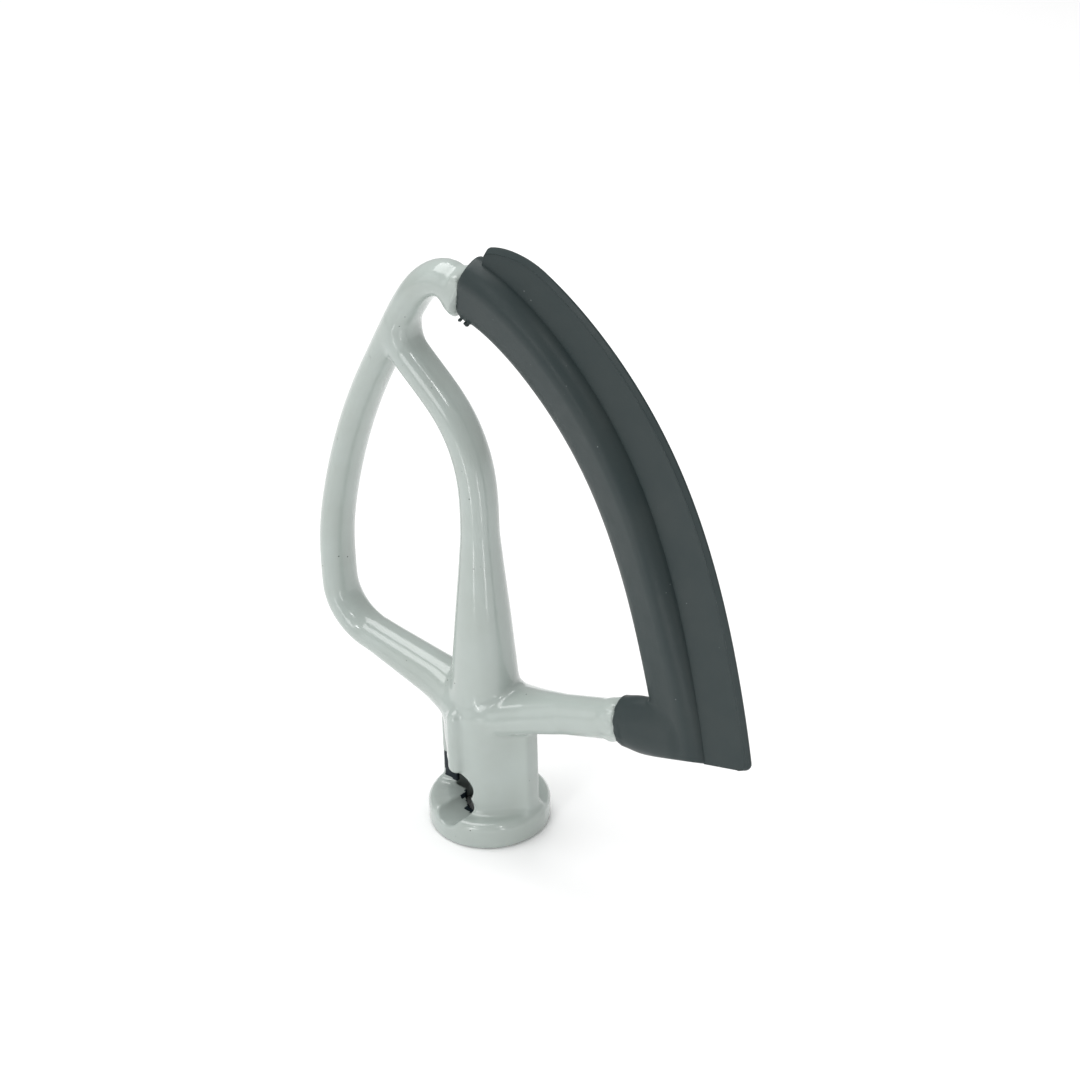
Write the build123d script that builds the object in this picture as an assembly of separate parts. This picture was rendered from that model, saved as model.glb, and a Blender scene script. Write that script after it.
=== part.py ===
"""Flat beater with a flexible wiping edge for a tilt-head stand mixer.

The frame stands as it does on a table: on its drive collar, with the tip of the
beater at the top.  The origin is the centre of the collar's bottom face, +Z runs
up the stem and +X points to the flexible edge.  The beater lies in the XZ plane.
All lengths are in millimetres.
"""
import os
from math import cos, radians, sin

from build123d import *

# ---- driving dimensions ----------------------------------------------------
# drive collar and sleeve
COLLAR_R = 17.25            # outer radius of the collar at the mouth
COLLAR_H = 8.0              # height of the collar
COLLAR_TOP_ROUND = 2.4      # rounding of the collar's upper rim
COLLAR_FOOT_ROUND = 1.2     # rounding of the rim that it stands on
SLEEVE_R = 11.5             # outer radius of the sleeve round the drive shaft
SLEEVE_TOP = 38.0           # where the sleeve starts to narrow into the stem
STEM_FOOT_Z = 46.0          # where the stem's long taper starts
STEM_FOOT_R = 9.4
WEB_REACH = 15.0            # how far the two flat webs reach from the axis
WEB_HALF_T = 2.0            # half thickness of a web at its free edge
WEB_TOP = 37.0              # the webs end inside the lower arms
RIB_R = 1.7                 # radius of the raised rib on the front of the sleeve
RIB_LOW, RIB_HIGH = 22.5, 38.5
RIB_ANGLE = -9.0            # direction of the rib, from the front face

# drive socket: a 12.7 mm shaft with a cross pin
SOCKET_R = 6.45
SOCKET_DEPTH = 34.0
PIN_SLOT_W = 5.4            # width of the keyway that the cross pin slides up
PIN_SLOT_R = 9.9            # how far the keyway reaches from the axis
PIN_SLOT_TOP = 22.5         # top of the keyway, where the pin turns
PIN_SLOT_ANGLE = -92.0      # direction of the keyway, from the front face
SEAT_ANGLE = -8.0           # direction of the seat that the pin drops into
SEAT_Z, SEAT_R = 9.6, 5.2   # height and radius of the seat's channel

# arms: half width in the plane of the beater, and half depth across it
STEM_TOP_Z = 92.0           # the stem is straight up to here, then bends
LEFT_ARM = (4.1, 6.2)
LOWER_ARM = (5.6, 5.4)
CORE_ARM = (4.6, 4.4)       # the arm hidden inside the flexible cover
SHOULDER = (6.1, 5.8)       # rounded bead where the coating stops at the cover

# flexible cover
NOSE_HALF = 2.6             # half depth at the cover's inner edge
RIDGE_HALF = 6.5            # half depth at its ridge
RIDGE_FOOT_HALF = 5.2       # half depth of the ridge at the cover's lower end
RIDGE_RISE = 0.4            # share of the cover's length over which the ridge rises
ROOT_HALF = 2.0             # half depth of the body where the blade starts
NECK_HALF_H = 6.8           # half height where the cover starts on the lower arm
ELBOW_HALF_H = 8.0          # half height where it has turned into the body
NECK_HALF_D = 5.5
RING_PROUD = 0.5            # thin ring round the cover's lower end
RING_LENGTH = 2.2
ANCHOR_R = 1.8              # holes through the arm, filled by the cover
ANCHOR_COUNT = 5

# flexible blade, in segments that swing on the cover's outer face
LIP_COUNT = 8
LIP_GAP = 0.28              # gap between neighbouring segments
LIP_ROOT_HALF = 1.15        # half thickness at the root, round about the hinge line
LIP_EDGE_HALF = 0.65        # half thickness at the wiping edge
HINGE_OFFSET = 1.85         # from the cover's outer face to the hinge line
CORNER_R = 2.5              # rounded lower corner of the blade
TIP_START = 0.92            # share of the blade's length where its outer edge turns in to the tip

FRONT = -90.0               # angle of the front face (-Y) about the Z axis


# ---- helpers ---------------------------------------------------------------
def in_plane(x, z):
    """A point of the beater's own plane."""
    return Vector(x, 0, z)


def station(curve, t, offset=0.0):
    """Plane across a curve at t; its x axis points away from the loop's inside."""
    along = curve % t
    outward = Vector(along.Z, 0, -along.X)
    return Plane(origin=(curve @ t) + outward * offset, x_dir=outward, z_dir=along)


def ovals(curve, halves, stops):
    """Oval sections along a curve; halves(t) gives the half width and half depth."""
    return [station(curve, t) * Ellipse(*halves(t)) for t in stops]


def tube(curve, halves, stops):
    """Oval bar along a curve."""
    return loft(ovals(curve, halves, stops))


def between(start, end, t):
    """Straight-line mix of two numbers."""
    return start + (end - start) * t


def evenly(count, start=0.0, end=1.0):
    """count values from start to end, both included."""
    return [between(start, end, i / (count - 1)) for i in range(count)]


def radial_cut(radius, angle, z, reach=30.0):
    """Round bar from the axis outwards, at an angle from the front face."""
    turn = radians(angle + FRONT)
    outwards = Vector(cos(turn), sin(turn), 0)
    return extrude(Plane(origin=(0, 0, z), z_dir=outwards) * Circle(radius), reach)


# ---- centre lines ----------------------------------------------------------
ROOT_LINE = Spline(
    [in_plane(72.6, 44.9), in_plane(68.6, 70.0), in_plane(61.2, 100.6), in_plane(49.5, 129.0),
     in_plane(32.2, 152.6), in_plane(17.4, 165.4), in_plane(4.6, 172.0)],
    tangents=[(-0.12, 0, 1.0), (-1.0, 0, 0.32)])
CORE_OFFSET = -8.2          # the hidden arm's line, inwards from the root line, at its foot
CROWN_OFFSET = -9.6         # and at the crown
LEFT_ELBOW = ThreePointArc(in_plane(-37.5, 47.2), in_plane(-46.9, 52.6), in_plane(-50.4, 62.0))
LEFT_LINE = Spline(
    [LEFT_ELBOW @ 1, in_plane(-50.3, 76.0), in_plane(-47.6, 92.0), in_plane(-43.0, 108.0),
     in_plane(-36.0, 125.5), in_plane(-25.4, 145.6)])
LEFT_ROOT = in_plane(-8.0, 38.6)
RIGHT_ROOT = in_plane(8.0, 38.9)
SHOULDER_END = in_plane(44.8, 48.9)     # end of the bare lower arm, where the cover starts
ELBOW_CENTRE = in_plane(62.0, 51.2)
CROWN_END = station(ROOT_LINE, 1.0, CROWN_OFFSET).origin
STEM_LINE = Spline(
    [in_plane(0, STEM_TOP_Z), in_plane(-0.9, 110.0), in_plane(-7.0, 125.2), in_plane(-18.3, 137.5),
     in_plane(-25.4, 145.6)],
    tangents=[(0, 0, 1), (-0.6, 0, 0.8)])
CROWN_LINE = Spline(
    [LEFT_LINE @ 1, in_plane(-18.8, 156.2), in_plane(-10.6, 163.2), CROWN_END],
    tangents=[LEFT_LINE % 1, (0.96, 0, -0.3)])


def body_width(t):
    """Width of the cover's body from its outer face to its inner edge."""
    return between(15.2, 18.4, t)


def ridge_half(t):
    """Half depth of the cover's ridge: lower at the foot, full from RIDGE_RISE on."""
    rise = min(1.0, t / RIDGE_RISE)
    return between(RIDGE_FOOT_HALF, RIDGE_HALF, rise * rise * (3 - 2 * rise))


def blade_width(t):
    """Width of the blade: narrowing slowly, and rounded off to the tip."""
    tip = max(0.0, t - TIP_START) / (1 - TIP_START)
    return 13.5 - 0.6 * t - 4.0 * t ** 3 - 4.6 * tip ** 2.2


# ---- hub -------------------------------------------------------------------
def collar_and_sleeve():
    """Round collar, sleeve and the start of the stem, turned about Z."""
    body = Cylinder(COLLAR_R, COLLAR_H, align=(Align.CENTER, Align.CENTER, Align.MIN))
    body = fillet(body.edges().sort_by(Axis.Z)[-1], COLLAR_TOP_ROUND)
    body = fillet(body.edges().sort_by(Axis.Z)[0], COLLAR_FOOT_ROUND)
    sleeve = Cylinder(SLEEVE_R, SLEEVE_TOP, align=(Align.CENTER, Align.CENTER, Align.MIN))
    neck = Pos(0, 0, SLEEVE_TOP) * Cone(SLEEVE_R, STEM_FOOT_R, STEM_FOOT_Z - SLEEVE_TOP,
                                        align=(Align.CENTER, Align.CENTER, Align.MIN))
    return body + sleeve + neck


def webs():
    """Flat webs on both sides; their faces run tangent to the sleeve."""
    half_angle = 50.0
    touch = Vector(SLEEVE_R * cos(radians(half_angle)), SLEEVE_R * sin(radians(half_angle)))
    outline = [(-WEB_REACH, -WEB_HALF_T), (-touch.X, -touch.Y), (touch.X, -touch.Y),
               (WEB_REACH, -WEB_HALF_T), (WEB_REACH, WEB_HALF_T), (touch.X, touch.Y),
               (-touch.X, touch.Y), (-WEB_REACH, WEB_HALF_T)]
    base_z = COLLAR_H - COLLAR_TOP_ROUND
    return extrude(Plane.XY.offset(base_z) * make_face(Polyline(*outline, close=True)), WEB_TOP - base_z)


def front_rib():
    """Raised vertical rib with rounded ends on the front of the sleeve."""
    turn = radians(RIB_ANGLE + FRONT)
    rib_x, rib_y = (SLEEVE_R - 0.4) * cos(turn), (SLEEVE_R - 0.4) * sin(turn)
    rib = Pos(rib_x, rib_y, RIB_LOW) * Cylinder(
        RIB_R, RIB_HIGH - RIB_LOW, align=(Align.CENTER, Align.CENTER, Align.MIN))
    for z in (RIB_LOW, RIB_HIGH):
        rib += Pos(rib_x, rib_y, z) * Sphere(RIB_R)
    return rib


def drive_socket():
    """Blind socket with the keyway and the turning slot of the cross pin."""
    socket = Cylinder(SOCKET_R, SOCKET_DEPTH, align=(Align.CENTER, Align.CENTER, Align.MIN))
    keyway = Box(PIN_SLOT_R, PIN_SLOT_W, PIN_SLOT_TOP, align=(Align.MIN, Align.CENTER, Align.MIN))
    socket += Rot(0, 0, PIN_SLOT_ANGLE + FRONT) * keyway
    for angle, z, radius, reach in (
            (-80.0, 19.6, 2.9, PIN_SLOT_R), (-62.0, 19.2, 3.4, 30.0), (-46.0, 17.9, 4.0, 30.0),
            (-30.0, 15.6, 4.7, 30.0), (-18.0, 12.6, SEAT_R, 30.0), (SEAT_ANGLE, SEAT_Z, SEAT_R, 30.0)):
        socket += radial_cut(radius, angle, z, reach)
    return socket


def make_hub():
    """Collar, sleeve, webs and rib, with the drive socket cut out."""
    return collar_and_sleeve() + webs() + front_rib() - drive_socket()


# ---- casting ---------------------------------------------------------------
def make_stem():
    """Tapered round stem that bends over to the left arm."""
    stations = ((STEM_FOOT_Z, STEM_FOOT_R, STEM_FOOT_R), (66.0, 7.4, 7.8), (STEM_TOP_Z, 5.2, 5.6))
    straight = loft([Plane.XY.offset(z) * Ellipse(a, b) for z, a, b in stations])
    bend = tube(STEM_LINE, lambda t: (between(5.2, 3.9, t), between(5.6, 4.4, t)), evenly(6, 0, 0.97))
    return straight + bend


def make_left_lower_arm():
    """Lower arm to the left loop, thicker at the hub."""
    line = Line(LEFT_ROOT, LEFT_ELBOW @ 0)
    return tube(line, lambda t: (between(6.4, 4.1, t), between(7.2, 5.9, t)), evenly(3))


def make_left_arm():
    """Left arm from the lower elbow up to the fork."""
    elbow = ovals(LEFT_ELBOW, lambda t: (LEFT_ARM[0], between(5.9, LEFT_ARM[1], t)), evenly(4, 0, 0.8))
    side = ovals(LEFT_LINE, lambda t: LEFT_ARM, evenly(7, 0.04))
    return loft(elbow + side)


def make_crown():
    """Crown that arches over and ends in a flat face against the cover."""
    def halves(t):
        flare = max(0.0, t - 0.5) / 0.5
        return between(LEFT_ARM[0], 7.9, flare ** 1.5), between(LEFT_ARM[1], 5.6, t)
    return tube(CROWN_LINE, halves, evenly(7))


def make_right_lower_arm():
    """Bare lower arm to the cover, ending in a rounded shoulder."""
    line = Line(RIGHT_ROOT, SHOULDER_END)

    def halves(t):
        return between(6.2, LOWER_ARM[0], min(1, 2.5 * t)), between(7.0, LOWER_ARM[1], min(1, 2.5 * t))
    arm = tube(line, halves, evenly(4, 0, 0.86))
    bead_stops = (0.84, 0.89, 0.95, 1.0)
    bead_halves = (LOWER_ARM, SHOULDER, SHOULDER, (CORE_ARM[0] + 0.9, CORE_ARM[1] + 0.9))
    bead = loft([station(line, t) * Ellipse(*h) for t, h in zip(bead_stops, bead_halves)])
    return arm + bead


def core_point(t):
    """Point on the hidden arm's centre line beside the root line at t."""
    return station(ROOT_LINE, t, between(CORE_OFFSET, CROWN_OFFSET, t)).origin


def core_line():
    """Centre line of the hidden arm, from the shoulder round to the crown."""
    elbow = ThreePointArc(in_plane(54.0, 51.4), in_plane(59.6, 54.9), core_point(0.14))
    lower = Line(SHOULDER_END, elbow @ 0)
    side = Spline([core_point(t) for t in (0.14, 0.3, 0.45, 0.6, 0.75, 0.88, 1.0)])
    return [lower, elbow, side]


def anchor_pins(length):
    """Round bars across the hidden arm, where the cover runs through it."""
    line = core_line()[-1]
    pins = []
    for t in evenly(ANCHOR_COUNT, 0.08, 0.84):
        centre = line @ t
        pins.append(Pos(centre.X, 0, centre.Z) * Rot(90, 0, 0) * Cylinder(ANCHOR_R, length))
    return pins


def core_solid():
    """The hidden arm without its anchor holes."""
    lower, elbow, side = core_line()
    return (tube(lower, lambda t: CORE_ARM, evenly(2)) + tube(elbow, lambda t: CORE_ARM, evenly(5))
            + tube(side, lambda t: CORE_ARM, evenly(12)))


# ---- flexible cover and blade ----------------------------------------------
def cover_section(t):
    """Section of the cover's body, from its inner edge to its stepped outer face."""
    width = body_width(t)
    ridge = -width * 0.27
    shelf = -width * 0.10
    high = ridge_half(t)
    outline = [(-width, NOSE_HALF - 1.0), (-width + 1.0, NOSE_HALF), (ridge - 2.4, high - 0.5),
               (ridge, high), (shelf, between(ROOT_HALF, high, 0.58)), (0, ROOT_HALF)]
    mirrored = [(u, -y) for u, y in reversed(outline)]
    return station(ROOT_LINE, t) * make_face(Polyline(*outline, *mirrored, close=True))


def make_edge_cover():
    """Moulded cover over the hidden arm, with plugs through its anchor holes."""
    body = loft([cover_section(t) for t in evenly(12)])
    neck_line = Line(SHOULDER_END, ELBOW_CENTRE)
    neck = tube(neck_line, lambda t: (between(NECK_HALF_H, ELBOW_HALF_H, t), NECK_HALF_D), evenly(3))
    ring = tube(neck_line, lambda t: (NECK_HALF_H + RING_PROUD, NECK_HALF_D + RING_PROUD),
                (0.0, RING_LENGTH / neck_line.length))
    cover = body + neck + ring - core_solid()
    for pin in anchor_pins(2 * CORE_ARM[1] + 0.6):
        cover += pin
    return cover


def lip_section(t):
    """Section of the blade: round at the hinge line, thinning to the edge."""
    edge = blade_width(t)
    outline = ThreePointArc((HINGE_OFFSET, LIP_ROOT_HALF), (HINGE_OFFSET - LIP_ROOT_HALF, 0),
                            (HINGE_OFFSET, -LIP_ROOT_HALF))
    outline += Polyline((HINGE_OFFSET, -LIP_ROOT_HALF), (edge, -LIP_EDGE_HALF), (edge, LIP_EDGE_HALF),
                        (HINGE_OFFSET, LIP_ROOT_HALF))
    return station(ROOT_LINE, t) * make_face(outline)


def lip_span(number):
    """Start and end of a blade segment along the root line, with its gaps."""
    half_gap = 0.5 * LIP_GAP / ROOT_LINE.length
    return (number - 1) / LIP_COUNT + half_gap, number / LIP_COUNT - half_gap


def hinge_line(number):
    """Centre and direction of the line that a blade segment swings about."""
    start, end = [station(ROOT_LINE, t, HINGE_OFFSET).origin for t in lip_span(number)]
    return (start + end) * 0.5, (end - start).normalized()


def make_lip(number):
    """One segment of the flexible blade; segment 1 is at the bottom."""
    start, end = lip_span(number)
    lip = loft([lip_section(t) for t in evenly(3, start, end)])
    if number == 1:
        lip = fillet(lip.edges().sort_by(Axis.X)[-1], CORNER_R)
    return lip


# ---- assembly --------------------------------------------------------------
def make_parts():
    """Every node of the beater, by name."""
    hub = make_hub()
    stem = make_stem() - hub - drive_socket()
    left_lower = make_left_lower_arm() - hub - stem - drive_socket()
    right_lower = make_right_lower_arm() - hub - stem - drive_socket()
    left_arm = make_left_arm()
    crown = make_crown()
    edge_arm = core_solid()
    for pin in anchor_pins(4 * CORE_ARM[1]):
        edge_arm -= pin
    parts = {
        "hub": hub,
        "stem": stem - left_arm - crown,
        "left_lower_arm": left_lower - left_arm,
        "left_arm": left_arm,
        "crown": crown,
        "right_lower_arm": right_lower,
        "edge_arm": edge_arm - right_lower - crown,
        "edge_cover": make_edge_cover() - right_lower - crown,
    }
    for number in range(1, LIP_COUNT + 1):
        parts[f"blade_segment_{number}"] = make_lip(number)
    return parts


def main():
    """Write one STEP file for each node."""
    os.makedirs("parts", exist_ok=True)
    for name, shape in make_parts().items():
        export_step(shape, f"parts/{name}.step")


if __name__ == "__main__":
    main()
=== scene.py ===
"""Looks of a coated flat beater with a flexible wiping edge, standing on its drive collar.

Shapes are worked out in millimetres in the beater's own frame (it lies in the XZ plane, the origin is the
middle of the collar's mouth, +X points to the flexible edge) and turned into metres when a mesh is made.
The casting and the cover are distance fields, negative inside, which surface() turns into meshes. The blade
is a strip of sections. Angles round the hub are counted from the front face, -Y, and grow towards +X.
"""
from math import cos, radians, sin

import bpy
import numpy as np
from mathutils import Matrix, Vector


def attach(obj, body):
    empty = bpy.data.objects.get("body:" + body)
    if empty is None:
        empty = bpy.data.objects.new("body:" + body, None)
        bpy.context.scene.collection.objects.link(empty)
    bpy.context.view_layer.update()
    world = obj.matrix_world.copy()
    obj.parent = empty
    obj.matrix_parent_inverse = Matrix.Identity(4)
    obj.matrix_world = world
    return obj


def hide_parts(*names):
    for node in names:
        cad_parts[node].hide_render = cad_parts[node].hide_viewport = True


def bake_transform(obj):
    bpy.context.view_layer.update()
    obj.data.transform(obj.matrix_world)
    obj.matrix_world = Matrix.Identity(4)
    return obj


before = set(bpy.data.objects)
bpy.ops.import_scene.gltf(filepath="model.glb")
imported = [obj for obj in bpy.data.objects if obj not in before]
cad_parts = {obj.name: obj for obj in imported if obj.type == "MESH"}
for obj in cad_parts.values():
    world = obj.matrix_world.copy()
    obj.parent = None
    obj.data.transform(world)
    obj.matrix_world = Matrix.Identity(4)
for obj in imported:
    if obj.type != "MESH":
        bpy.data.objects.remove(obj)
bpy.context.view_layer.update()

MM = 0.001                      # metres in a millimetre
FAR = 1e3                       # millimetres, further than any point of the beater

# ---- sizes of the casting ----------------------------------------------------
COLLAR_R, COLLAR_H = 17.25, 8.0
COLLAR_TOP_ROUND, COLLAR_FOOT_ROUND, COLLAR_FILLET = 2.4, 1.2, 2.4
SLEEVE_R, SLEEVE_TOP = 11.5, 40.0
WEB_REACH, WEB_HALF_T, WEB_TOP = 15.0, 1.8, 37.0
WEB_FILLETS = (9.0, 4.0)        # right and left: the webs run into the sleeve in a hollow
RIB_R, RIB_LOW, RIB_HIGH = 2.3, 22.5, 38.0
RIB_ANGLE, RIB_OUT = -12.0, 11.6
SOCKET_R, SOCKET_DEPTH = 6.45, 34.0
PIN_SLOT_HALF_W, PIN_SLOT_R, PIN_SLOT_TOP = 2.7, 9.9, 22.5
PIN_SLOT_ANGLE = -92.0
# channel of the cross pin, open from the left web to the front: angle, height and radius of each cut
PIN_CHANNEL = ((-66.0, 14.1, 6.1), (-52.0, 14.1, 6.1), (-38.0, 14.1, 6.0), (-26.0, 14.0, 5.6),
               (-16.0, 14.6, 5.0), (-11.0, 15.2, 4.6), (-11.0, 9.6, 4.7))
SHOULDER_END = (46.2, 49.3)     # where the right lower arm goes into the cover
SHOULDER_DIRECTION, SHOULDER_PAST = (0.965, 0.262), 0.3
CREASE_DEPTH, CREASE_FROM, CREASE_FADE = 0.22, 41.9, 1.5    # creases in the coating beside the cover
BAND_LENGTH, BAND_TOP = 3.0, 5.2    # end band of the crown, beside the cover, and its drop below the step
CROWN_ABOVE = 130.0             # only the crown reaches the cover's upper end, and it is above this height
FORK_ABOVE = 100.0              # above this height the stem meets the fork, and below it the lower arms
FORK_TO_CROWN = (0.8, 0.6)      # direction from the fork towards the corner between the stem and the crown
DARK_R, DARK_MARGIN = 8.2, 1.5  # the socket's near-black (bare metal with painted shade) reaches this far out, and starts above the mouth

# ---- sizes of the cover --------------------------------------------------------
COVER_PAST = 2.8                # how far the cover's body runs past the end of the root line
BODY_FOOT_WIDTH, BODY_GROWTH = 15.2, 3.2    # width of the body at its foot, and what it gains up to its top
NOSE_HALF, CHEEK_HALF, CHEEK_AT = 1.6, 2.6, 1.0     # the narrow inner edge and the corner beside it
RIDGE_AT, SHELF_AT = 0.27, 0.10     # places of the ridge and of the shelf's bend, as shares of the width
RIDGE_ROUND, RIDGE_DROP = 2.4, 0.5
SHELF_SHARE, STEP_HALF = 0.58, 2.0
RIDGE_HALF, RIDGE_FOOT_HALF = 6.5, 4.6      # half depth of the ridge, at the top and at the foot
RIDGE_RISE = 0.4                # share of the length over which the ridge rises from the foot
ELBOW_CENTRE = (62.0, 51.2)
NECK_DIRECTION = (0.989, 0.146)
RING_MIDDLE, RING_HALF = 0.9, 0.8
FOOT_END = (72.6, 45.3)         # outer corner of the cover's foot
FOOT_UP = (-0.235, 0.972)       # square to the foot, which rises a little towards the wiping edge
FOOT_KEEL = 0.62                # slope of the underside, up to both sides
FOOT_FROM = 49.0                # the foot is cut off flat beyond this x
# bits of flash on the inner corner of the upper end: distance from that end, and radius
FLASH = ((1.6, 0.5), (3.4, 0.4), (4.6, 0.5))
FLASH_DEPTH, FLASH_FLATNESS = 2.0, 0.7

# ---- sizes of the blade --------------------------------------------------------
SEGMENT_COUNT = 8
BLADE_WIDTH, BLADE_TAPER, BLADE_CURVE = 13.5, 0.6, 4.0      # width at the foot, and what it loses to the top
BLADE_HALF_T = 1.25             # half thickness inside the cover
BLADE_THINNING, BLADE_THIN_AT = 0.58, 13.4      # what it loses, over this distance outwards
BLADE_BURIED = 0.6              # how far the blade runs into the cover
BLADE_BEVEL = 1.6               # width of the bevel along the wiping edge
CREST_RISE, CREST_STEP = 0.16, 0.25     # small crest where the bevel starts
LIP_HALF, LIP_END_HALF, LIP_ROUND = 0.36, 0.22, 0.15
CORNER_R, TIP_R = 2.5, 0.9      # rounded corners at the foot and at the tip
FOOT_LIFT, FOOT_RISE = 1.0, 0.038       # rise of the blade's foot along the root line, and its slope outwards
FOOT_LENGTH = 14.0              # length over which that fades
TIP_LEAN, TIP_LENGTH = 0.10, 8.0        # the tip leans forwards
TIP_START, TIP_LOSS = 0.90, 4.7         # where the wiping edge turns in to the tip, and by how much
SHARP_ANGLE = 14.0              # edges sharper than this stay crisp


# ---- lines in the beater's plane --------------------------------------------
class Line:
    """A finely sampled line in the XZ plane; its outward side is to the right of its direction."""

    def __init__(self, points):
        self.points = np.array(points, float)
        steps = np.linalg.norm(np.diff(self.points, axis=0), axis=1)
        self.at = np.concatenate([[0.0], np.cumsum(steps)])
        self.length = self.at[-1]
        along = np.gradient(self.points, self.at, axis=0)
        self.along = along / np.linalg.norm(along, axis=1)[:, None]

    def point(self, s, offset=0.0):
        """Point (x, z) at arc length s, moved outwards by offset."""
        x, z = (np.interp(s, self.at, self.points[:, i]) for i in (0, 1))
        tx, tz = self.tangent(s)
        return np.stack([x + offset * tz, z - offset * tx], -1)

    def tangent(self, s):
        """Direction (x, z) at arc length s."""
        tx, tz = (np.interp(s, self.at, self.along[:, i]) for i in (0, 1))
        size = np.hypot(tx, tz)
        return tx / size, tz / size

    def follow(self, q):
        """Arc length, outward offset and overshoot past the ends, for points q of shape (n, 3)."""
        best = np.full(len(q), FAR * FAR)
        s = np.zeros(len(q))
        for a, b, start in zip(self.points[:-1], self.points[1:], self.at[:-1]):
            d = b - a
            size = d @ d
            t = np.clip(((q[:, 0] - a[0]) * d[0] + (q[:, 2] - a[1]) * d[1]) / size, 0, 1)
            far = (q[:, 0] - a[0] - t * d[0]) ** 2 + (q[:, 2] - a[1] - t * d[1]) ** 2
            nearer = far < best
            best[nearer] = far[nearer]
            s[nearer] = start + t[nearer] * np.sqrt(size)
        x, z = (np.interp(s, self.at, self.points[:, i]) for i in (0, 1))
        tx, tz = self.tangent(s)
        u = (q[:, 0] - x) * tz - (q[:, 2] - z) * tx
        past = (q[:, 0] - x) * tx + (q[:, 2] - z) * tz
        past = np.where(s <= 0, np.minimum(past, 0), np.where(s >= self.length, np.maximum(past, 0), 0))
        return s, u, past


def spline(points, start=None, end=None, step=1.2):
    """Points of a smooth cubic line through points, with its end directions where they are given."""
    p = np.array(points, float)
    n = len(p)
    t = np.concatenate([[0.0], np.cumsum(np.linalg.norm(np.diff(p, axis=0), axis=1))])
    h = np.diff(t)
    system = np.zeros((n, n))
    right = np.zeros((n, 2))
    for i in range(1, n - 1):
        system[i, i - 1:i + 2] = h[i], 2 * (h[i - 1] + h[i]), h[i - 1]
        right[i] = 3 * ((p[i] - p[i - 1]) / h[i - 1] * h[i] + (p[i + 1] - p[i]) / h[i] * h[i - 1])
    for row, near, direction, chord in ((0, 1, start, (p[1] - p[0]) / h[0]),
                                        (n - 1, n - 2, end, (p[-1] - p[-2]) / h[-1])):
        given = direction is not None
        system[row, row] = 1.0 if given else 2.0
        system[row, near] = 0.0 if given else 1.0
        right[row] = np.array(direction) / np.linalg.norm(direction) if given else 3 * chord
    slope = np.linalg.solve(system, right)
    made = []
    for i in range(n - 1):
        for f in np.linspace(0, 1, max(2, int(h[i] / step) + 1), endpoint=i == n - 2):
            a, b = 2 * f ** 3 - 3 * f ** 2 + 1, f ** 3 - 2 * f ** 2 + f
            c, d = -2 * f ** 3 + 3 * f ** 2, f ** 3 - f ** 2
            made.append(a * p[i] + b * h[i] * slope[i] + c * p[i + 1] + d * h[i] * slope[i + 1])
    return np.array(made)


def arc(a, b, c, count=12):
    """Points of the round arc through a, b and c."""
    (ax, az), (bx, bz), (cx, cz) = a, b, c
    d = 2 * (ax * (bz - cz) + bx * (cz - az) + cx * (az - bz))
    qa, qb, qc = ax * ax + az * az, bx * bx + bz * bz, cx * cx + cz * cz
    mid = np.array([(qa * (bz - cz) + qb * (cz - az) + qc * (az - bz)) / d,
                    (qa * (cx - bx) + qb * (ax - cx) + qc * (bx - ax)) / d])
    first, last = (np.arctan2(p[1] - mid[1], p[0] - mid[0]) for p in (a, c))
    turn = (last - first + np.pi) % (2 * np.pi) - np.pi
    radius = np.hypot(ax - mid[0], az - mid[1])
    angles = first + turn * np.linspace(0, 1, count)
    return np.stack([mid[0] + radius * np.cos(angles), mid[1] + radius * np.sin(angles)], -1)


# where the blade leaves the cover, from the foot to the crown
ROOT = Line(spline([(72.6, 44.9), (68.6, 70.0), (61.2, 100.6), (49.5, 129.0), (32.2, 152.6), (17.4, 165.4),
                    (4.6, 172.0)], start=(-0.12, 1.0), end=(-1.0, 0.32)))
ROOT_LONG = Line(np.concatenate([
    ROOT.points, ROOT.points[-1] + np.outer((4.0, 8.0), ROOT.tangent(ROOT.length))]))
FORK = (-25.4, 145.6)
STEM = Line(np.concatenate([
    [(0, 30.0), (0, 60.0)],
    spline([(0, 92.0), (-0.9, 110.0), (-7.0, 125.2), (-18.3, 137.5), (-24.0, 143.9)],
           start=(0, 1), end=(-0.6, 0.8))]))
ELBOW = arc((-37.5, 47.2), (-46.9, 52.6), (-50.4, 62.0))
LEFT_SIDE = spline([(-50.4, 62.0), (-50.3, 76.0), (-47.6, 92.0), (-43.0, 108.0), (-36.0, 125.5), FORK])
CROWN_SIDE = spline([FORK, (-19.2, 156.3), (-12.8, 163.0), (-7.2, 164.3), (-2.6, 160.6)],
                    start=tuple(LEFT_SIDE[-1] - LEFT_SIDE[-2]), end=(0.6, -0.8))
LOOP = Line(np.concatenate([[(-4.0, 37.5)], ELBOW[:-1], LEFT_SIDE[:-1], CROWN_SIDE]))
CROWN_LENGTH = Line(CROWN_SIDE).length
FORK_AT = LOOP.length - CROWN_LENGTH
RIGHT = Line([(4.0, 37.8), SHOULDER_END])
NECK = Line([SHOULDER_END, ELBOW_CENTRE])

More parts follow.
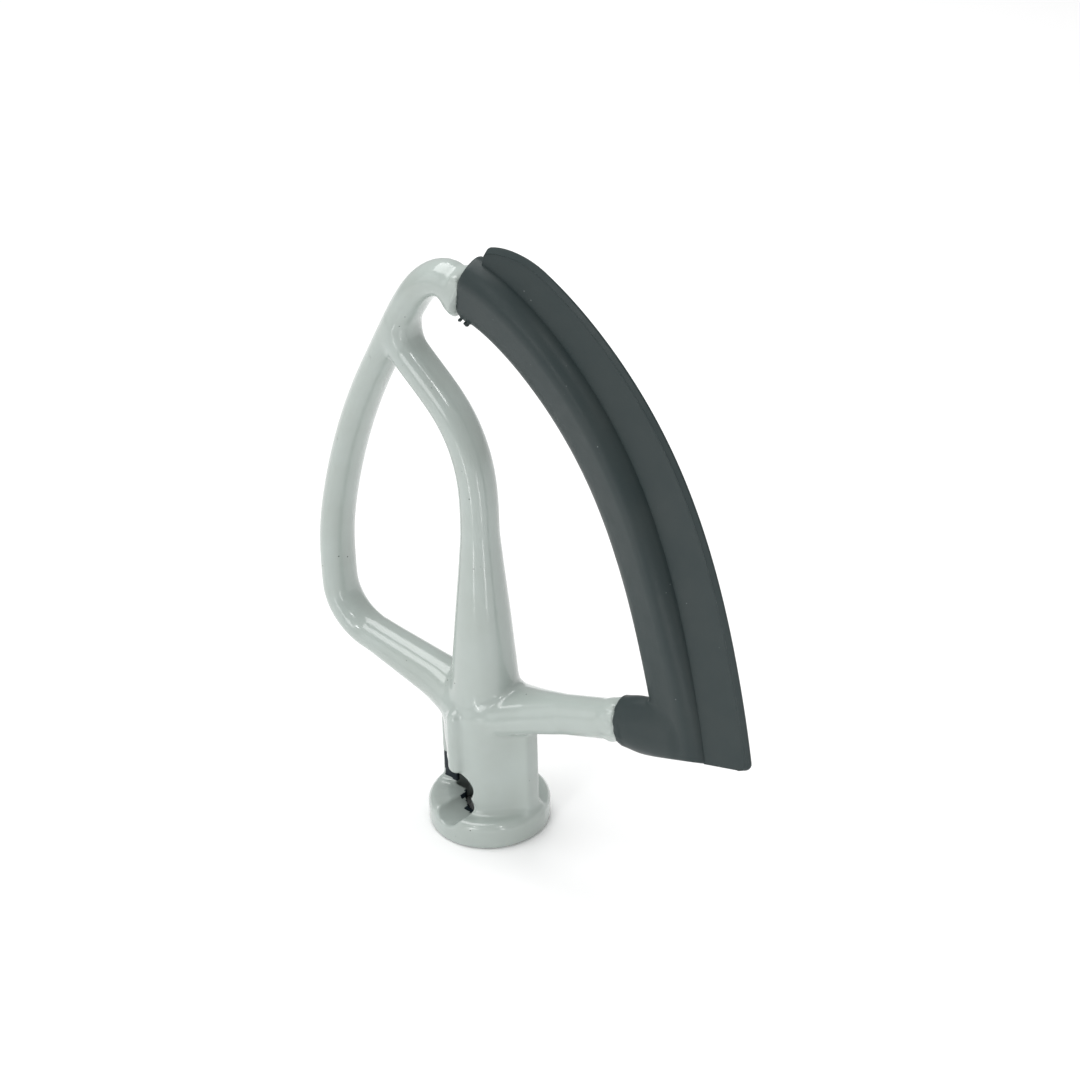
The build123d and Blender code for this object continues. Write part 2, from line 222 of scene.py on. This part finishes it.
# ---- thickness of the bars: arc length, half width in the plane, half depth across it ---------------
STEM_BAR = ((0, 11.4, 11.4), (8, 11.4, 11.4), (16, 9.4, 9.4), (36, 7.7, 7.9), (50, 6.3, 6.6),
            (62, 5.2, 5.6), (80, 5.0, 5.6), (STEM.length, 4.5, 5.8))
LOOP_BAR = ((0, 6.6, 10.4), (5, 6.4, 9.4), (12, 5.9, 7.2), (34, 4.3, 6.0), (52, 4.1, 6.0),
            (FORK_AT - 8, 4.1, 6.0), (FORK_AT, 4.3, 6.1), (FORK_AT + 0.55 * CROWN_LENGTH, 4.4, 5.8),
            (LOOP.length, 5.6, 5.6))
RIGHT_BAR = ((0, 6.6, 11.0), (6, 6.2, 10.0), (14, 5.9, 7.6), (0.55 * RIGHT.length, 5.6, 5.5),
             (0.87 * RIGHT.length, 5.6, 5.4), (0.91 * RIGHT.length, 6.0, 5.8),
             (0.98 * RIGHT.length, 6.1, 5.8), (RIGHT.length, 5.6, 5.4))
NECK_BAR = ((0, 6.9, 5.4), (3.5, 8.4, 5.4), (NECK.length, 9.2, RIDGE_FOOT_HALF))
RING_BAR = ((0, 7.1, 5.7), (NECK.length, 8.2, 5.7))


# ---- distance fields ---------------------------------------------------------
def join(a, b, soft):
    """Union of two fields with a fillet of about that size."""
    h = np.maximum(soft - np.abs(a - b), 0) / soft
    return np.minimum(a, b) - h * h * soft * 0.25


def meet(a, b, soft):
    """Intersection of two fields with a rounded edge."""
    return -join(-a, -b, soft)


def oval(u, y, w, half_u, half_y):
    """About the distance to an oval bar with rounded ends."""
    half_w = np.minimum(half_u, half_y)
    k0 = np.sqrt((u / half_u) ** 2 + (y / half_y) ** 2 + (w / half_w) ** 2)
    k1 = np.sqrt((u / half_u ** 2) ** 2 + (y / half_y ** 2) ** 2 + (w / half_w ** 2) ** 2)
    return np.where(k1 > 1e-4, k0 * (k0 - 1) / np.maximum(k1, 1e-4), -half_w)


def profile(s, stops, values, soften):
    """Value at s along a line, between the stops, with the kinks rounded off."""
    grid = np.arange(stops[0] - 2 * soften, stops[-1] + 2 * soften, 0.5)
    table = np.interp(grid, stops, values)
    window = np.hanning(int(2 * soften / 0.5) + 3)
    padded = np.pad(table, len(window) // 2, mode="edge")
    smooth = np.convolve(padded, window / window.sum(), mode="valid")[:len(grid)]
    return np.interp(s, grid, smooth)


def bar(q, line, stations, soften=5.0):
    """Oval bar along a line, with a half width and a half depth at each station."""
    stops, half_u, half_y = zip(*stations)
    s, u, past = line.follow(q)
    return oval(u, q[:, 1], past, profile(s, stops, half_u, soften), profile(s, stops, half_y, soften))


def beyond(q, place, direction):
    """How far points lie past a place in the beater's plane, in a direction of that plane."""
    return (q[:, 0] - place[0]) * direction[0] + (q[:, 2] - place[1]) * direction[1]


def out_and_side(q, angle):
    """Distances from the hub's axis: out at an angle from the front face, and sideways from there."""
    turn = radians(angle - 90)
    x, y = q[:, 0], q[:, 1]
    return x * cos(turn) + y * sin(turn), -x * sin(turn) + y * cos(turn)


def rounded_disc(q):
    """The collar, a disc with two different edge roundings."""
    r = np.hypot(q[:, 0], q[:, 1])
    z = q[:, 2]
    edge = np.where(z > COLLAR_H / 2, COLLAR_TOP_ROUND, COLLAR_FOOT_ROUND)
    a = r - (COLLAR_R - edge)
    b = np.abs(z - COLLAR_H / 2) - (COLLAR_H / 2 - edge)
    return np.hypot(np.maximum(a, 0), np.maximum(b, 0)) + np.minimum(np.maximum(a, b), 0) - edge


def hub_field(q):
    """Collar, sleeve with its webs, and the rib."""
    z = q[:, 2]
    web = meet(np.abs(q[:, 0]) - WEB_REACH, np.abs(q[:, 1]) - WEB_HALF_T, soft=1.2)
    web = meet(web, z - WEB_TOP, soft=3.0)
    sleeve = meet(np.hypot(q[:, 0], q[:, 1]) - SLEEVE_R, z - SLEEVE_TOP, soft=2.0)
    body = join(web, sleeve, soft=np.where(q[:, 0] > 0, *WEB_FILLETS))
    body = meet(body, COLLAR_H / 2 - z, soft=0.5)       # the collar alone reaches the floor
    body = join(body, rounded_disc(q), soft=COLLAR_FILLET)
    out, side = out_and_side(q, RIB_ANGLE)
    rib = np.sqrt((out - RIB_OUT) ** 2 + side ** 2 + (z - np.clip(z, RIB_LOW, RIB_HIGH)) ** 2) - RIB_R
    return join(body, rib, soft=1.0)


def socket_field(q):
    """Drive socket, its keyway and the channel that the cross pin turns in."""
    y, z = q[:, 1], q[:, 2]
    hole = meet(np.hypot(q[:, 0], y) - SOCKET_R, z - SOCKET_DEPTH, soft=0.6)
    out, side = out_and_side(q, PIN_SLOT_ANGLE)
    key = np.maximum.reduce([np.abs(side) - PIN_SLOT_HALF_W, out - PIN_SLOT_R, -out, z - PIN_SLOT_TOP])
    hole = join(hole, key, soft=0.5)
    channel = np.full(len(q), FAR)
    for angle, height, radius in PIN_CHANNEL:
        out, side = out_and_side(q, angle)
        cut = np.maximum(np.hypot(side, z - height) - radius, -out)
        channel = join(channel, cut, soft=0.4)
    channel = meet(channel, y + WEB_HALF_T, soft=0.5)       # the left web closes it at the back
    return join(hole, channel, soft=0.3)


def right_arm_field(q):
    """Right lower arm, cut off square where it goes into the cover."""
    arm = bar(q, RIGHT, RIGHT_BAR, soften=1.2)
    share = np.clip((q[:, 0] - CREASE_FROM) / CREASE_FADE, 0, 1)
    creases = CREASE_DEPTH * share * np.sin(2.1 * q[:, 2] + 1.2 * q[:, 1])
    return meet(arm + creases, beyond(q, SHOULDER_END, SHOULDER_DIRECTION) - SHOULDER_PAST, soft=1.4)


def crown_band_field(u, y, into_cover):
    """Raised band at the end of the crown, with the cover's section."""
    band = cover_section(u, y, body_width(1.0), RIDGE_HALF, soft=1.0) + 0.2
    band = meet(band, np.abs(into_cover + BAND_LENGTH / 2) - BAND_LENGTH / 2, soft=1.2)
    return meet(band, u + BAND_TOP, soft=1.6)


def stem_fillet(q):
    """Fillet of the stem; at the fork it is narrow towards the left arm and wide towards the crown."""
    wide = np.clip(0.2 * (beyond(q, FORK, FORK_TO_CROWN) + 1.0), 0, 1)
    return np.where(q[:, 2] > FORK_ABOVE, 1.2 + 4.0 * wide, 2.2)


def casting_field(q):
    """The whole coated casting, as far as it shows."""
    s, u, _ = ROOT_LONG.follow(q)
    into_cover = ROOT.length + COVER_PAST - s
    loop = bar(q, LOOP, LOOP_BAR)
    loop = meet(loop, np.where(q[:, 2] > CROWN_ABOVE, into_cover + 0.4, -FAR), soft=0.8)
    loop = join(loop, crown_band_field(u, np.abs(q[:, 1]), into_cover), soft=2.0)
    body = join(loop, right_arm_field(q), soft=2.0)
    body = join(bar(q, STEM, STEM_BAR, soften=4.0), body, soft=stem_fillet(q))
    body = join(hub_field(q), body, soft=2.0)
    return meet(body, -socket_field(q), soft=0.8)


def body_width(t):
    """Width of the cover's body at a share t of the root line, counted from the foot."""
    return BODY_FOOT_WIDTH + BODY_GROWTH * t


def ridge_half(t):
    """Half depth of the cover's ridge, which fades out towards the foot."""
    rise = np.clip(t / RIDGE_RISE, 0, 1)
    return RIDGE_FOOT_HALF + (RIDGE_HALF - RIDGE_FOOT_HALF) * rise * rise * (3 - 2 * rise)


def cover_section(u, y, width, high, soft):
    """Field of the cover's section; u runs outwards from the step and y is the depth, never negative."""
    ridge = -RIDGE_AT * width
    outline = [(-width, NOSE_HALF), (-width + CHEEK_AT, CHEEK_HALF), (ridge - RIDGE_ROUND, high - RIDGE_DROP),
               (ridge, high), (-SHELF_AT * width, STEP_HALF + SHELF_SHARE * (high - STEP_HALF)),
               (0.0, STEP_HALF)]
    field = np.maximum(u, -width - u)
    for i, ((ua, ya), (ub, yb)) in enumerate(zip(outline[:-1], outline[1:])):
        nu, ny = ya - yb, ub - ua
        size = np.hypot(nu, ny)
        field = meet(field, ((u - ua) * nu + (y - ya) * ny) / size, soft if i else 0.7)
    return field


def neck_field(q):
    """The cover's neck on the right lower arm, with a thin wavy ring at its end."""
    start = beyond(q, SHOULDER_END, NECK_DIRECTION)
    neck = meet(bar(q, NECK, NECK_BAR), -start, soft=0.5)
    wave = 0.15 * np.sin(2.1 * q[:, 2]) + 0.1 * np.sin(3.7 * q[:, 1] + 1.0)
    ring = meet(bar(q, NECK, RING_BAR), np.abs(start - RING_MIDDLE + wave) - RING_HALF, soft=0.5)
    return join(neck, ring, soft=0.4)


def cover_field(q):
    """Moulded cover: the body along the root line with its bits of flash, and the neck."""
    s, u, past = ROOT_LONG.follow(q)
    y = np.abs(q[:, 1])
    t = np.minimum(s / ROOT.length, 1.0)
    top = ROOT.length + COVER_PAST
    field = cover_section(u, y, body_width(t), ridge_half(t), soft=1.8)
    field = meet(field, np.where(past != 0, np.abs(past), -np.minimum(s, top - s)), soft=0.5)
    for along, radius in FLASH:
        x, z = ROOT_LONG.point(top - along, -body_width(1.0))
        depth = FLASH_FLATNESS * (q[:, 1] + FLASH_DEPTH)
        bit = np.sqrt((q[:, 0] - x) ** 2 + depth ** 2 + (q[:, 2] - z) ** 2) - radius
        field = join(field, bit, soft=0.4)
    field = join(field, neck_field(q), soft=1.2)
    under = -beyond(q, FOOT_END, FOOT_UP) + FOOT_KEEL * y
    return meet(field, np.where(q[:, 0] > FOOT_FROM, under, -FAR), soft=0.5)


# ---- from a field to a mesh ----------------------------------------------------
CORNERS = [(i, j, k) for i in (0, 1) for j in (0, 1) for k in (0, 1)]
BATCH = 400000                  # points worked out at a time, to limit memory


def gradient(field, p, step=0.05):
    """Slope of a field at points p."""
    sides = []
    for axis in range(3):
        shift = np.zeros(3)
        shift[axis] = step
        sides.append((field(p + shift) - field(p - shift)) / (2 * step))
    return np.stack(sides, -1)


def sample(field, low, high, cell, coarse=4):
    """Values of a field on a grid: exact near its surface, one value for each coarse block elsewhere."""
    wide = cell * coarse
    count = np.ceil((np.array(high, float) - low) / wide).astype(int) + 1
    axes = [low[i] + wide * (np.arange(count[i]) + 0.5) - cell * 0.5 for i in range(3)]
    blocks = np.stack(np.meshgrid(*axes, indexing="ij"), -1)
    values = field(blocks.reshape(-1, 3)).reshape(count)
    for axis in range(3):
        values = np.repeat(values, coarse, axis=axis)
    near = np.abs(values) < wide * 1.6
    where = np.argwhere(near)
    exact = np.empty(len(where))
    for i in range(0, len(where), BATCH):
        part = slice(i, i + BATCH)
        exact[part] = field(low + where[part] * cell)
    values[near] = exact
    return values


def crossings(values, cells):
    """Mean place, in grid steps from each cell's corner, where the surface crosses the cell's edges."""
    summed = np.zeros((len(cells), 3))
    hits = np.zeros(len(cells))
    for a in CORNERS:
        for axis in range(3):
            if a[axis]:
                continue
            b = tuple(a[i] + (i == axis) for i in range(3))
            va = values[tuple((cells + a).T)]
            vb = values[tuple((cells + b).T)]
            crosses = (va < 0) != (vb < 0)
            f = np.where(crosses, va / np.where(crosses, va - vb, 1), 0)
            point = np.array(a, float) + np.outer(f, np.eye(3)[axis])
            summed += np.where(crosses[:, None], point, 0)
            hits += crosses
    return summed / hits[:, None]


def edge_quads(inside, index):
    """One quad round each grid edge that the surface crosses, facing outwards; index numbers the cells."""
    step = np.eye(3, dtype=int)
    quads = []
    for axis in range(3):
        u, v = (axis + 1) % 3, (axis + 2) % 3
        first = inside[tuple(slice(1, -1) if i != axis else slice(0, -1) for i in range(3))]
        second = inside[tuple(slice(1, -1) if i != axis else slice(1, None) for i in range(3))]
        edges = np.argwhere(first != second) + np.array([1 if i != axis else 0 for i in range(3)])
        around_edge = (step[u] + step[v], step[v], np.zeros(3, int), step[u])
        ring = np.stack([index[tuple((edges - d).T)] for d in around_edge], -1)
        outward = inside[tuple(edges.T)]
        ring[~outward] = ring[~outward][:, ::-1]
        quads.append(ring)
    return np.concatenate(quads)


def surface(field, low, high, cell):
    """Quads of the field's zero surface inside the box, one vertex for each cell that it crosses."""
    low = np.array(low, float)
    values = sample(field, low, high, cell)
    inside = values < 0
    size = np.array(values.shape) - 1
    nx, ny, nz = size
    total = sum(inside[i:i + nx, j:j + ny, k:k + nz].astype(np.int8) for i, j, k in CORNERS)
    cells = np.argwhere((total > 0) & (total < len(CORNERS)))
    index = np.full(size, -1)
    index[tuple(cells.T)] = np.arange(len(cells))
    vertices = low + (cells + crossings(values, cells)) * cell
    quads = edge_quads(inside, index)
    for _ in range(2):
        vertices = relax(vertices, quads, 0.5)
        for _ in range(2):
            vertices = onto(field, vertices)
    return vertices, quads


def onto(field, p):
    """Points moved to the field's surface, by one Newton step."""
    slope = gradient(field, p)
    return p - slope * (field(p) / np.maximum((slope ** 2).sum(1), 0.3))[:, None]


def relax(vertices, quads, share):
    """Moves each vertex a share of the way to the middle of its neighbours."""
    start = quads.ravel()
    end = np.roll(quads, -1, axis=1).ravel()
    count = np.bincount(start, minlength=len(vertices)) + np.bincount(end, minlength=len(vertices))
    moved = np.empty_like(vertices)
    for i in range(3):
        total = (np.bincount(start, vertices[end, i], len(vertices))
                 + np.bincount(end, vertices[start, i], len(vertices)))
        moved[:, i] = vertices[:, i] * (1 - share) + share * total / np.maximum(count, 1)
    return moved


def new_piece(name, vertices, faces, materials):
    """A smooth-shaded mesh object from millimetre vertices."""
    mesh = bpy.data.meshes.new(name)
    mesh.from_pydata((np.asarray(vertices) * MM).tolist(), [], [tuple(f) for f in faces])
    mesh.update()
    mesh.shade_smooth()
    for material in materials:
        mesh.materials.append(material)
    piece = bpy.data.objects.new(name, mesh)
    bpy.context.scene.collection.objects.link(piece)
    return piece


# ---- materials -------------------------------------------------------------------
class Finish:
    """Builds a node material around one Principled shader."""

    def __init__(self, name, colour, roughness, **settings):
        self.material = bpy.data.materials.new(name)
        self.material.use_nodes = True
        self.nodes = self.material.node_tree.nodes
        self.links = self.material.node_tree.links
        self.shader = self.nodes["Principled BSDF"]
        self.shader.inputs["Base Color"].default_value = (*colour, 1)
        self.shader.inputs["Roughness"].default_value = roughness
        for key, value in settings.items():
            self.shader.inputs[key.replace("_", " ")].default_value = value
        self.place = self.nodes.new("ShaderNodeTexCoord").outputs["Object"]

    def noise(self, size_mm, detail=2.0, roughness=0.5):
        """Cloudy noise between about 0.3 and 0.7, with lumps of about that size."""
        node = self.nodes.new("ShaderNodeTexNoise")
        node.inputs["Scale"].default_value = 1 / (size_mm * MM)
        node.inputs["Detail"].default_value = detail
        node.inputs["Roughness"].default_value = roughness
        self.links.new(self.place, node.inputs["Vector"])
        return node.outputs["Fac"]

    def spots(self, size_mm):
        """Distance to the nearest of many scattered points."""
        node = self.nodes.new("ShaderNodeTexVoronoi")
        node.inputs["Scale"].default_value = 1 / (size_mm * MM)
        self.links.new(self.place, node.inputs["Vector"])
        return node.outputs["Distance"]

    def span(self, value, low, high, to_low=0.0, to_high=1.0):
        """The value spread from one range to another, and held at its ends."""
        node = self.nodes.new("ShaderNodeMapRange")
        for key, number in (("From Min", low), ("From Max", high), ("To Min", to_low), ("To Max", to_high)):
            node.inputs[key].default_value = number
        self.links.new(value, node.inputs["Value"])
        return node.outputs["Result"]

    def times(self, a, b):
        node = self.nodes.new("ShaderNodeMath")
        node.operation = "MULTIPLY"
        self.links.new(a, node.inputs[0])
        self.links.new(b, node.inputs[1])
        return node.outputs[0]

    def mix(self, share, a, b):
        """Colour between a and b; each is a colour or another node's output."""
        node = self.nodes.new("ShaderNodeMix")
        node.data_type = "RGBA"
        self.links.new(share, node.inputs["Factor"])
        for value, socket in ((a, node.inputs[6]), (b, node.inputs[7])):
            if isinstance(value, tuple):
                socket.default_value = (*value, 1)
            else:
                self.links.new(value, socket)
        return node.outputs[2]

    def edges(self, low, high):
        """1 on sharp outer edges and 0 elsewhere."""
        node = self.nodes.new("ShaderNodeNewGeometry")
        return self.span(node.outputs["Pointiness"], low, high)

    def colour(self, value):
        self.links.new(value, self.shader.inputs["Base Color"])

    def roughness(self, value):
        self.links.new(value, self.shader.inputs["Roughness"])

    def bump(self, *layers):
        """Surface relief from (height output, depth in mm) pairs."""
        before = None
        for height, depth in layers:
            node = self.nodes.new("ShaderNodeBump")
            node.inputs["Distance"].default_value = depth * MM
            self.links.new(height, node.inputs["Height"])
            if before is not None:
                self.links.new(before, node.inputs["Normal"])
            before = node.outputs["Normal"]
        self.links.new(before, self.shader.inputs["Normal"])


def enamel_material():
    """Glossy pale coating with a faint orange peel, specks and worn edges."""
    pale, warm = (0.385, 0.435, 0.412), (0.362, 0.406, 0.380)
    speck, worn = (0.09, 0.10, 0.09), (0.26, 0.29, 0.27)
    finish = Finish("coated_casting", pale, 0.16, Coat_Weight=0.38, Coat_Roughness=0.06,
                    Specular_IOR_Level=0.55)
    colour = finish.mix(finish.span(finish.noise(14, 3), 0.35, 0.65), pale, warm)
    patches = finish.span(finish.noise(7, 1), 0.60, 0.66)
    specks = finish.times(finish.span(finish.spots(2.6), 0.10, 0.06), patches)
    colour = finish.mix(specks, colour, speck)
    wear = finish.times(finish.edges(0.56, 0.66), finish.span(finish.noise(1.6, 3), 0.42, 0.62))
    finish.colour(finish.mix(wear, colour, worn))
    finish.roughness(finish.span(finish.noise(3.2, 3), 0.3, 0.7, 0.13, 0.22))
    finish.bump((finish.noise(2.2, 1.0), 0.035), (finish.noise(9, 1.0), 0.10))
    return finish.material


def bore_and_shade_material():
    """Near-black, slightly rough: the socket's uncoated inside darkened further as painted shade, and painted
    shade on the web behind the pin channel.
    """
    # near-black colours: bare metal in the bore plus painted shade
    dark, lighter = (0.006, 0.012, 0.018), (0.016, 0.024, 0.030)
    finish = Finish("socket_inside_and_painted_shade", (0.008, 0.014, 0.020), 0.45, Specular_IOR_Level=0.25)
    finish.colour(finish.mix(finish.span(finish.noise(2, 4), 0.4, 0.7), dark, lighter))
    finish.roughness(finish.span(finish.noise(0.8, 2), 0.3, 0.7, 0.35, 0.6))
    finish.bump((finish.noise(0.5, 2), 0.02))
    return finish.material


def rubber_material():
    """Dark grey elastomer: satin, slightly mottled, with a few dust specks."""
    base, light, dust = (0.025, 0.037, 0.038), (0.031, 0.042, 0.042), (0.16, 0.18, 0.18)
    finish = Finish("flexible_edge", base, 0.36, Specular_IOR_Level=0.24)
    colour = finish.mix(finish.span(finish.noise(16, 4, 0.6), 0.35, 0.7), base, light)
    patches = finish.span(finish.noise(9, 2), 0.60, 0.66)
    specks = finish.times(finish.span(finish.spots(2.4), 0.08, 0.05), patches)
    finish.colour(finish.mix(specks, colour, dust))
    finish.roughness(finish.span(finish.noise(5, 4, 0.6), 0.3, 0.7, 0.32, 0.42))
    finish.bump((finish.noise(0.35, 2), 0.012), (finish.noise(7, 2), 0.05))
    return finish.material


def floor_material():
    """Plain white paper."""
    finish = Finish("floor_paper", (0.95, 0.95, 0.95), 0.9, Specular_IOR_Level=0.1)
    finish.colour(finish.mix(finish.noise(90, 2), (0.94, 0.94, 0.94), (0.96, 0.96, 0.96)))
    return finish.material


ENAMEL = enamel_material()
BORE_AND_SHADE = bore_and_shade_material()
RUBBER = rubber_material()


# ---- casting ---------------------------------------------------------------------
def bore_and_shade_faces(middles, normals):
    """Faces with the near-black material: in the bore, bare metal darkened as painted shade, and on the left
    web behind the channel, painted shade.
    """
    x, y, z = middles.T
    out = np.hypot(x, y)
    bore = (out < DARK_R) & (z > DARK_MARGIN) & (z < SOCKET_DEPTH + DARK_MARGIN)
    # painted shade: the coated left web behind the pin channel, dark only because it lies in shadow
    back = (x < -4.0) & (y > -4.0) & (y < -0.8) & (z > COLLAR_H + 0.4) & (z < 17.5) & (out < 14.4)
    ledge = (normals[:, 2] > 0.6) & (out > SOCKET_R + 0.5) & (x < -3.0)
    return (bore | back) & ~ledge


def make_casting():
    vertices, quads = surface(casting_field, (-58, -18.6, -1.2), (46.5, 18.6, 177.5), cell=0.55)
    piece = new_piece("casting", vertices, quads, [ENAMEL, BORE_AND_SHADE])
    normals = np.empty(len(quads) * 3)
    piece.data.polygons.foreach_get("normal", normals)
    # second slot is painted shade: in the bore over bare metal, and on the web behind the channel
    dark = bore_and_shade_faces(vertices[quads].mean(1), normals.reshape(-1, 3))
    piece.data.polygons.foreach_set("material_index", dark.astype(np.int32))
    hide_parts("hub", "stem", "left_lower_arm", "left_arm", "crown", "right_lower_arm", "edge_arm")
    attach(piece, "beater")


# ---- cover -----------------------------------------------------------------------
def make_cover():
    vertices, quads = surface(cover_field, (-3, -8.4, 38.5), (75.5, 8.4, 176), cell=0.5)
    piece = new_piece("edge_cover_skin", vertices, quads, [RUBBER])
    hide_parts("edge_cover")
    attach(piece, "beater")


# ---- blade -----------------------------------------------------------------------
def blade_width(t):
    """Width of the blade at a share t of the root line, counted from the foot."""
    tip = max(0.0, t - TIP_START) / (1 - TIP_START)
    return BLADE_WIDTH - BLADE_TAPER * t - BLADE_CURVE * t ** 3 - TIP_LOSS * tip ** 2.2


def blade_reach(s):
    """Width of the blade at arc length s, with its two end corners rounded."""
    width = blade_width(s / ROOT.length)
    for distance, radius in ((s, CORNER_R), (ROOT.length - s, TIP_R)):
        if distance < radius:
            width -= radius - np.sqrt(max(0.0, radius ** 2 - (radius - distance) ** 2))
    return width


def blade_stations(start, end):
    """Arc lengths across one segment, closer together in the rounded corners."""
    stops = list(np.linspace(start, end, 21))
    for distance, radius in ((0.0, CORNER_R), (ROOT.length, TIP_R)):
        if start - 0.1 <= distance <= end + 0.1:
            turns = np.linspace(0, np.pi / 2, 7)
            bends = radius * (1 - np.cos(turns))
            stops = [s for s in stops if abs(s - distance) > radius]
            stops += [abs(distance - b) for b in bends]
    return sorted(stops)


def blade_profile(width):
    """Half of the blade's section: pairs of outward offset and half thickness."""
    bevel = width - BLADE_BEVEL
    flat = [(u, BLADE_HALF_T - BLADE_THINNING * (u + BLADE_BURIED) / BLADE_THIN_AT)
            for u in np.linspace(-BLADE_BURIED, bevel, 12)]
    crest = flat[-1][1]
    return flat + [(bevel + CREST_STEP, crest + CREST_RISE), (bevel + 2 * CREST_STEP, crest),
                   (width - LIP_ROUND, LIP_HALF), (width, LIP_END_HALF)]


def blade_ring(s):
    """Closed section of the blade at arc length s, as (x, y, z) points."""
    half = blade_profile(blade_reach(s))
    ring = [(u, -y) for u, y in half] + [(u, y) for u, y in reversed(half)]
    foot = max(0.0, 1 - s / FOOT_LENGTH)
    tip = max(0.0, 1 - (ROOT.length - s) / TIP_LENGTH)
    slope = FOOT_RISE * foot + TIP_LEAN * tip
    flat = np.array([ROOT_LONG.point(s + FOOT_LIFT * foot + slope * u, u) for u, _ in ring])
    return np.stack([flat[:, 0], [y for _, y in ring], flat[:, 1]], -1)


def strip_faces(rows, size):
    """Quads between rows of rings with size points each, and the two end caps."""
    faces = []
    for i in range(rows - 1):
        for j in range(size):
            k = (j + 1) % size
            faces.append((i * size + j, i * size + k, (i + 1) * size + k, (i + 1) * size + j))
    last = (rows - 1) * size
    for j in range(size // 2 - 1):
        faces.append((j, size - 1 - j, size - 2 - j, j + 1))
        faces.append((last + j, last + j + 1, last + size - 2 - j, last + size - 1 - j))
    return faces


def make_blade_segment(number):
    start = ROOT.length * (number - 1) / SEGMENT_COUNT
    end = ROOT.length * number / SEGMENT_COUNT
    rings = [blade_ring(s) for s in blade_stations(start, end)]
    faces = strip_faces(len(rings), len(rings[0]))
    piece = new_piece(f"blade_{number}_skin", np.concatenate(rings), faces, [RUBBER])
    piece.data.set_sharp_from_angle(angle=radians(SHARP_ANGLE))
    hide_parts(f"blade_segment_{number}")
    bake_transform(piece)


# ---- stage -----------------------------------------------------------------------
CAMERA_AZIMUTH, CAMERA_ELEVATION, CAMERA_ROLL = 36.0, 30.102, -1.305
CAMERA_AT = (365.41, -475.80, 437.25)
CAMERA_LENS = 86.4
FLOOR_HALF = 6.0                # metres
WORLD_STRENGTH = 0.45


def make_camera():
    a, e, r = radians(CAMERA_AZIMUTH), radians(CAMERA_ELEVATION), radians(CAMERA_ROLL)
    back = Vector((sin(a) * cos(e), -cos(a) * cos(e), sin(e)))
    right = Vector((cos(a), sin(a), 0))
    up = back.cross(right)
    right, up = right * cos(r) + up * sin(r), up * cos(r) - right * sin(r)
    data = bpy.data.cameras.new("camera")
    data.sensor_width = 36.0
    data.lens = CAMERA_LENS
    data.clip_start = 0.01
    camera = bpy.data.objects.new("camera", data)
    camera.matrix_world = Matrix.Translation(Vector(CAMERA_AT) * MM) @ Matrix(
        [[right[i], up[i], back[i]] for i in range(3)]).to_4x4()
    bpy.context.scene.collection.objects.link(camera)
    bpy.context.scene.camera = camera


def add_light(name, place, aim, size, power):
    """Area light of (width, height) at a place, aimed at a point, all in metres."""
    data = bpy.data.lights.new(name, "AREA")
    data.shape = "RECTANGLE"
    data.size, data.size_y = size
    data.energy = power
    light = bpy.data.objects.new(name, data)
    light.location = place
    light.rotation_mode = "QUATERNION"
    light.rotation_quaternion = (Vector(place) - Vector(aim)).to_track_quat("Z", "Y")
    bpy.context.scene.collection.objects.link(light)
    return light


def make_floor():
    mesh = bpy.data.meshes.new("floor")
    corners = [(x * FLOOR_HALF, y * FLOOR_HALF, 0) for x, y in ((-1, -1), (1, -1), (1, 1), (-1, 1))]
    mesh.from_pydata(corners, [], [(0, 1, 2, 3)])
    mesh.materials.append(floor_material())
    floor = bpy.data.objects.new("floor", mesh)
    bpy.context.scene.collection.objects.link(floor)


def make_world():
    world = bpy.data.worlds.new("studio")
    world.use_nodes = True
    background = world.node_tree.nodes["Background"]
    background.inputs["Color"].default_value = (1.0, 1.0, 1.0, 1)
    background.inputs["Strength"].default_value = WORLD_STRENGTH
    bpy.context.scene.world = world


def around(turn, distance, height):
    """A place in metres from the axis, at a bearing turned by some degrees from the camera's."""
    bearing = radians(CAMERA_AZIMUTH + turn)
    return distance * sin(bearing), -distance * cos(bearing), height


def make_lights():
    """Soft light from above and in front, and two pairs of small lights that make the crisp glints."""
    aim = (0.0, 0.0, 0.09)
    add_light("overhead", (-0.35, 0.1, 1.25), aim, (1.3, 1.0), 15.0)
    add_light("front", (0.10, -1.05, 0.40), (0, 0, 0.14), (0.40, 0.40), 1.6)
    add_light("key_left", around(-75, 1.1, 0.5), aim, (0.8, 0.8), 1.5)
    for side, turn in (("left", -32.0), ("right", 22.0)):
        strip = add_light(f"strip_{side}", around(turn, 0.17, 0.05), (0, 0, 0.05), (0.009, 0.08), 0.016)
        strip.visible_camera = False
        add_light(f"box_{side}", around(turn, 0.75, 0.80), aim, (0.08, 0.18), 0.7)


make_casting()
make_cover()
for segment in range(1, SEGMENT_COUNT + 1):
    make_blade_segment(segment)
make_floor()
make_world()
make_lights()
make_camera()
bpy.context.scene.view_settings.view_transform = "Standard"
